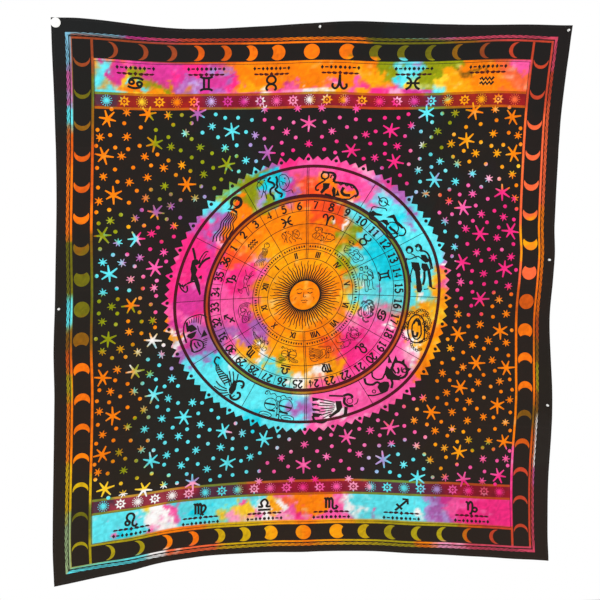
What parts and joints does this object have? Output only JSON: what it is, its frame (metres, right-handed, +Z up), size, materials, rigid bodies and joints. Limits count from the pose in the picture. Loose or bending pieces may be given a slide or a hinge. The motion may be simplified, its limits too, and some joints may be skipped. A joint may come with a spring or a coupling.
{
  "type": "tapestry wall hanging",
  "caption": "Large printed cotton tapestry with hemmed edges, hung flat on a wall by push pins and a cap nail; its lower part lifts off the wall.",
  "frame": {"origin": "axis of the top middle push pin where it enters the wall", "axes": "+Z up the wall, the printed front faces -Y, +X to the viewer's right"},
  "size_m": [2.1453, 0.0274, 2.302],
  "materials": {
    "printed_cotton": "thin plain-weave cotton, tie-dyed in many colours and overprinted in black and maroon",
    "hem_cotton": "the same cotton, turned twice, printed black",
    "sewing_thread": "black sewing thread",
    "white_plastic": "moulded white plastic",
    "needle_steel": "bright drawn steel",
    "nail_steel": "dull galvanised steel"
  },
  "bodies": {
    "hung_cloth": {"cloth_panel": "printed_cotton", "hem_top": "hem_cotton", "hem_left_upper": "hem_cotton", "hem_right_upper": "hem_cotton", "stitch_top": "sewing_thread", "stitch_left_upper": "sewing_thread", "stitch_right_upper": "sewing_thread"},
    "lower_flap": {"cloth_lower_flap": "printed_cotton", "hem_bottom": "hem_cotton", "hem_left_lower": "hem_cotton", "hem_right_lower": "hem_cotton", "stitch_bottom": "sewing_thread", "stitch_left_lower": "sewing_thread", "stitch_right_lower": "sewing_thread"},
    "push_pin_top_center": {"pin_top_center_head": "white_plastic", "pin_top_center_needle": "needle_steel"},
    "push_pin_top_right": {"pin_top_right_head": "white_plastic", "pin_top_right_needle": "needle_steel"},
    "push_pin_left_middle": {"pin_left_middle_head": "white_plastic", "pin_left_middle_needle": "needle_steel"},
    "push_pin_right_upper": {"pin_right_upper_head": "white_plastic", "pin_right_upper_needle": "needle_steel"},
    "push_pin_right_lower": {"pin_right_lower_head": "white_plastic", "pin_right_lower_needle": "needle_steel"},
    "corner_nail": {"nail_cap": "white_plastic", "cap_nail": "nail_steel"}
  },
  "joints": [
    {"name": "lower_flap_lift", "type": "hinge", "parent": "hung_cloth", "child": "lower_flap", "pos_m": [0, -0.00088, -1.65], "axis": [-1, 0, 0], "range_deg": [0, 90]},
    {"name": "push_pin_top_center_pull", "type": "slide", "parent": "hung_cloth", "child": "push_pin_top_center", "axis": [0, -1, 0], "range_m": [0, 0.011]},
    {"name": "push_pin_top_right_pull", "type": "slide", "parent": "hung_cloth", "child": "push_pin_top_right", "axis": [0, -1, 0], "range_m": [0, 0.011]},
    {"name": "push_pin_left_middle_pull", "type": "slide", "parent": "hung_cloth", "child": "push_pin_left_middle", "axis": [0, -1, 0], "range_m": [0, 0.011]},
    {"name": "push_pin_right_upper_pull", "type": "slide", "parent": "hung_cloth", "child": "push_pin_right_upper", "axis": [0, -1, 0], "range_m": [0, 0.011]},
    {"name": "push_pin_right_lower_pull", "type": "slide", "parent": "hung_cloth", "child": "push_pin_right_lower", "axis": [0, -1, 0], "range_m": [0, 0.011]},
    {"name": "corner_nail_pull", "type": "slide", "parent": "hung_cloth", "child": "corner_nail", "axis": [0, -1, 0], "range_m": [0, 0.017]}
  ]
}
